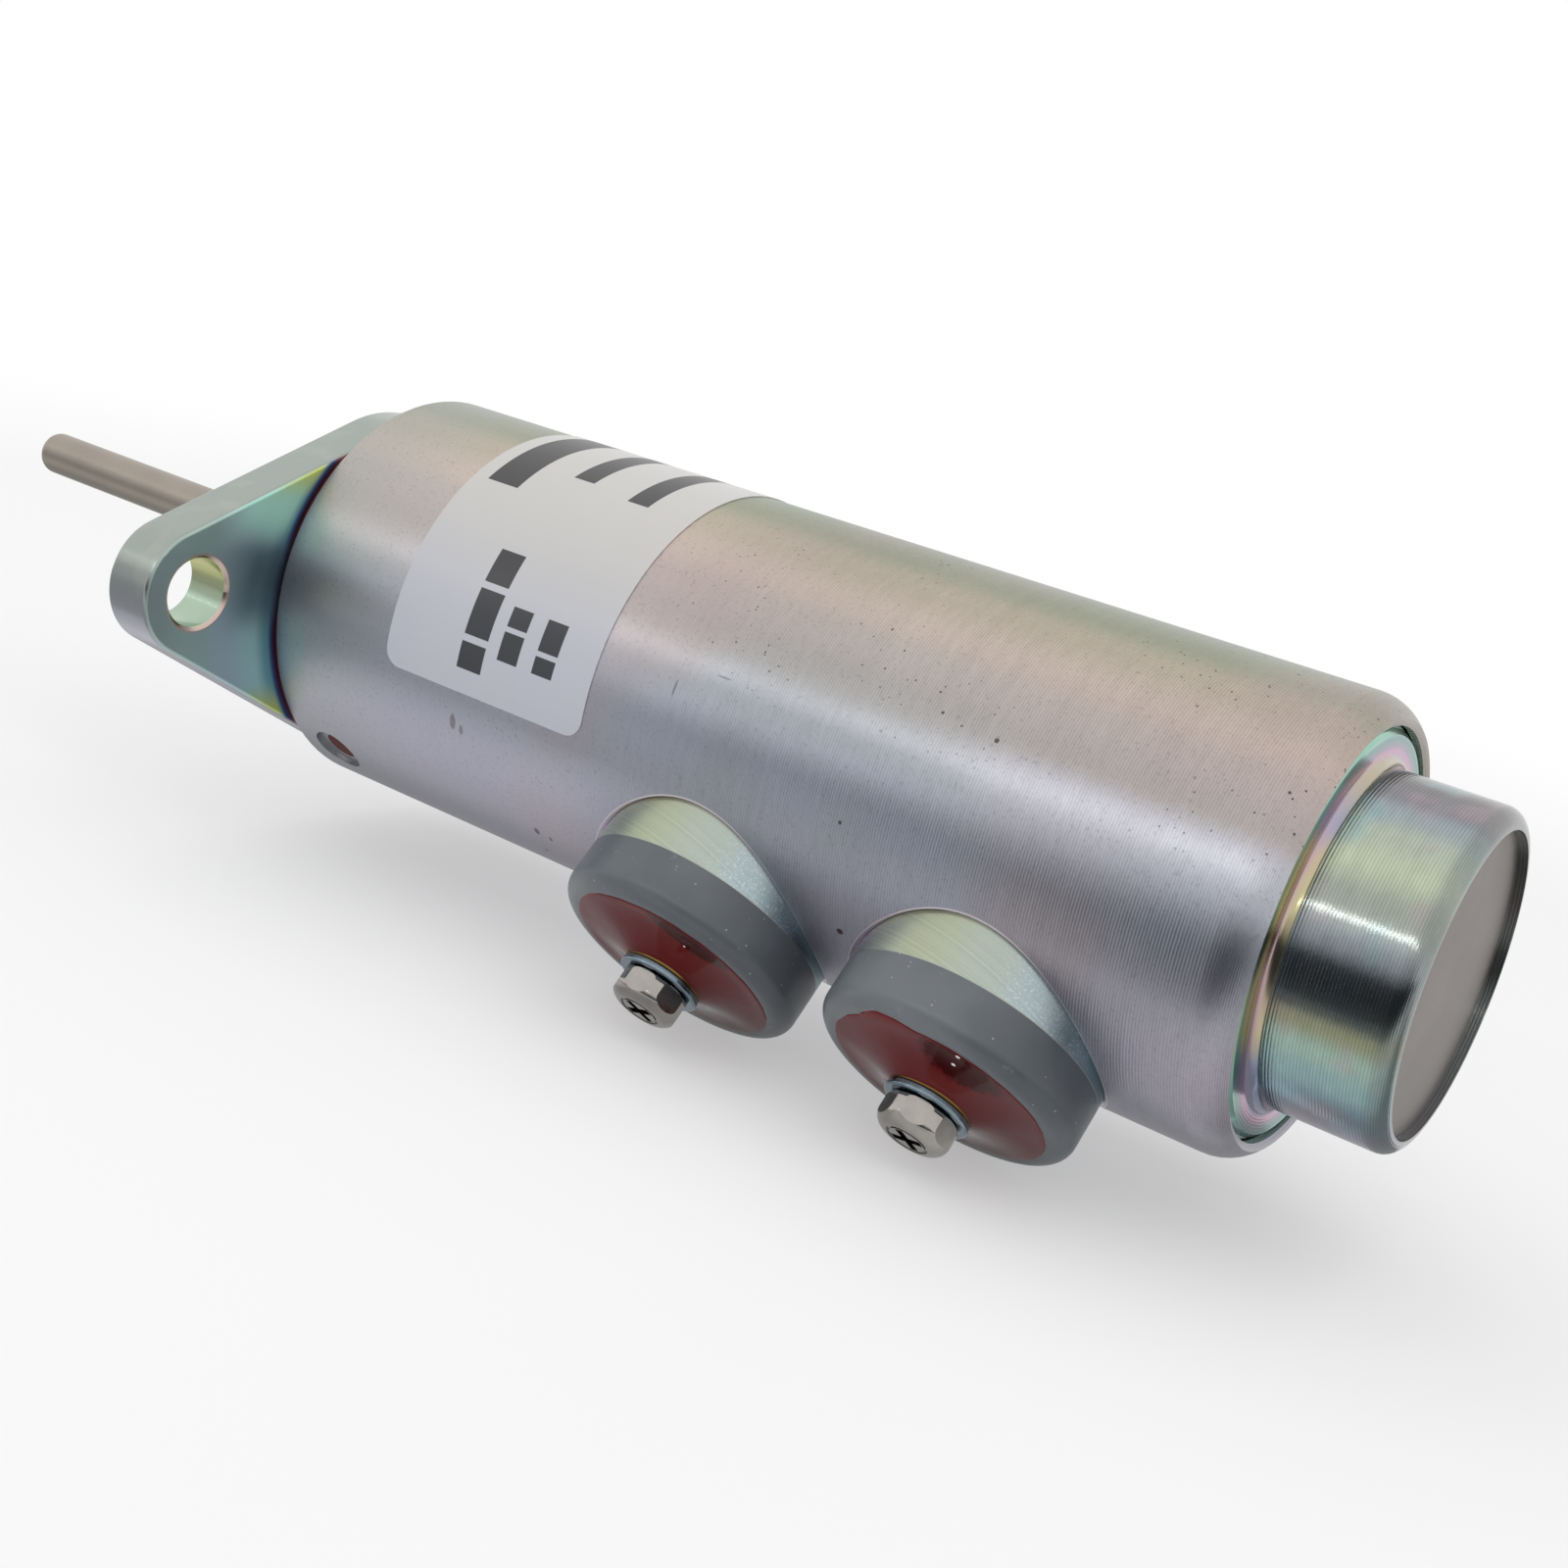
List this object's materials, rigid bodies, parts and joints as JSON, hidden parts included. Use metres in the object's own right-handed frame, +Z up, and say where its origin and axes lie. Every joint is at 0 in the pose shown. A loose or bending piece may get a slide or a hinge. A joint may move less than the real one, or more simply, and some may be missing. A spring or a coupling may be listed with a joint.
{
  "type": "fuel shutoff solenoid",
  "caption": "Flange-mounted linear pull solenoid with a round steel body, a push rod through the flange, two sealed side terminals and a turned rear cup.",
  "frame": {"origin": "centre of the two bolt holes, on the flange's mounting face", "axes": "+X along the body towards the rear cup, with the push rod pointing along -X; the flange's ears lie along Y and Z is up; the terminals point 48 degrees below -Y"},
  "size_m": [0.2183, 0.0914, 0.0588],
  "materials": {
    "shell_plating": "satin turned zinc plate",
    "flange_plating": "satin zinc plate",
    "cap_plating": "bright turned zinc plate",
    "boss_plating": "satin turned zinc plate",
    "disc_steel": "matte",
    "rod_steel": "dull ground",
    "soft_iron": "machined",
    "screw_steel": "dark",
    "spring_steel": "drawn",
    "washer_zinc": "bright zinc plate",
    "screw_nickel": "bright nickel plate",
    "brass": "machined",
    "bronze": "sintered",
    "copper": "bright",
    "copper_wire": "enamelled",
    "rubber": "matte",
    "label_film": "satin",
    "insulator_plastic": "matte moulded",
    "bobbin_plastic": "moulded",
    "switch_plastic": "moulded",
    "insulating_film": "film",
    "sealing_compound": "glossy poured"
  },
  "bodies": {
    "housing": {"mounting_flange": "flange_plating", "body_shell": "shell_plating", "end_cap": "cap_plating", "end_disc": "disc_steel", "label": "label_film", "lock_screw": "screw_steel", "lock_screw_sealant": "sealing_compound", "rod_bushing": "bronze", "rod_wiper_seal": "rubber", "front_o_ring": "rubber", "end_cap_o_ring": "rubber", "front_bumper": "rubber", "guide_tube": "brass", "winding_bobbin": "bobbin_plastic", "hold_in_winding": "copper_wire", "winding_interlayer": "insulating_film", "pull_in_winding": "copper_wire", "winding_wrap": "insulating_film", "front_insulating_washer": "insulating_film", "rear_insulating_washer": "insulating_film", "rear_core": "soft_iron", "stop_washer": "brass", "switch_base": "switch_plastic", "fixed_contact_a": "copper", "fixed_contact_b": "copper", "terminal_1_lead": "copper", "terminal_2_lead": "copper", "switch_return_lead": "copper", "return_spring": "spring_steel", "contact_spring": "spring_steel", "terminal_1_boss": "boss_plating", "terminal_1_insulator": "insulator_plastic", "terminal_1_compound": "sealing_compound", "terminal_1_post": "brass", "terminal_1_washer": "washer_zinc", "terminal_1_screw": "screw_nickel", "terminal_2_boss": "boss_plating", "terminal_2_insulator": "insulator_plastic", "terminal_2_compound": "sealing_compound", "terminal_2_post": "brass", "terminal_2_washer": "washer_zinc", "terminal_2_screw": "screw_nickel"},
    "plunger_unit": {"push_rod": "rod_steel", "plunger": "soft_iron", "plunger_cross_pin": "spring_steel"},
    "switch_unit": {"switch_pin": "switch_plastic", "contact_bridge": "copper"}
  },
  "joints": [
    {"name": "plunger_slide", "type": "slide", "parent": "housing", "child": "plunger_unit", "axis": [1, 0, 0], "range_m": [0, 0.025], "stiffness_N_per_m": 1000, "springref_m": -0.02, "deforming": ["return_spring"]},
    {"name": "switch_slide", "type": "slide", "parent": "housing", "child": "switch_unit", "axis": [1, 0, 0], "range_m": [0, 0.0016], "stiffness_N_per_m": 500, "springref_m": -0.002, "deforming": ["contact_spring"]}
  ],
  "couplings": [
    {"joint": "switch_slide", "follows": "plunger_slide", "ratio": 0.064}
  ]
}
